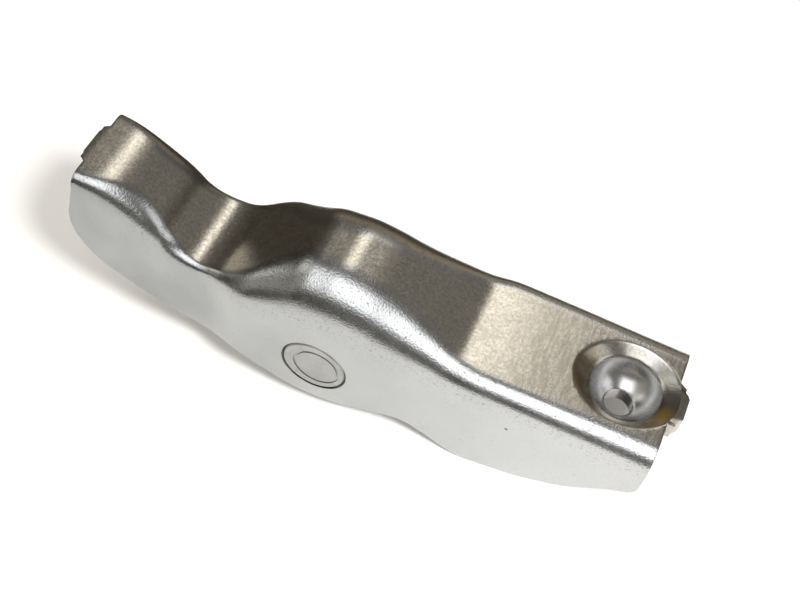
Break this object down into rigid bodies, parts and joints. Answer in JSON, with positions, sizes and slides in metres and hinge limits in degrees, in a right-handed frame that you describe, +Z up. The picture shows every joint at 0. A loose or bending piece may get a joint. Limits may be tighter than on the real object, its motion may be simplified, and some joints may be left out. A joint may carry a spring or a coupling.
{
  "type": "rocker arm",
  "caption": "Pressed-steel roller finger rocker arm: valve pad at one end, ball socket with oil hole at the other, needle-bearing cam roller on a staked axle between its walls.",
  "frame": {"origin": "centre of the ball socket", "axes": "+X from the valve pad to the socket, near the arm's length; +Y across the arm, along the roller's axle; +Z up from the table on which the arm lies on its roller and the heels of its walls, web upwards"},
  "size_m": [0.0702, 0.0162, 0.0267],
  "materials": {
    "pressed_steel": "tumbled satin steel with a ground web face",
    "axle_steel": "matte turned steel with staked ends",
    "roller_steel": "ground and polished bearing steel",
    "needle_steel": "polished bearing steel"
  },
  "bodies": {
    "arm": {"arm_body": "pressed_steel", "axle": "axle_steel"},
    "roller": {"roller": "roller_steel"},
    "needle_set": {"needle_01": "needle_steel", "needle_02": "needle_steel", "needle_03": "needle_steel", "needle_04": "needle_steel", "needle_05": "needle_steel", "needle_06": "needle_steel", "needle_07": "needle_steel", "needle_08": "needle_steel", "needle_09": "needle_steel", "needle_10": "needle_steel", "needle_11": "needle_steel", "needle_12": "needle_steel", "needle_13": "needle_steel", "needle_14": "needle_steel", "needle_15": "needle_steel", "needle_16": "needle_steel", "needle_17": "needle_steel"}
  },
  "joints": [
    {"name": "roller_spin", "type": "hinge", "parent": "arm", "child": "roller", "pos_m": [-0.03341, 0, -0.00329], "axis": [0, 1, 0], "continuous": true},
    {"name": "needle_orbit", "type": "hinge", "parent": "arm", "child": "needle_set", "pos_m": [-0.03341, 0, -0.00329], "axis": [0, 1, 0], "continuous": true}
  ],
  "couplings": [
    {"joint": "needle_orbit", "follows": "roller_spin", "ratio": 0.591}
  ]
}
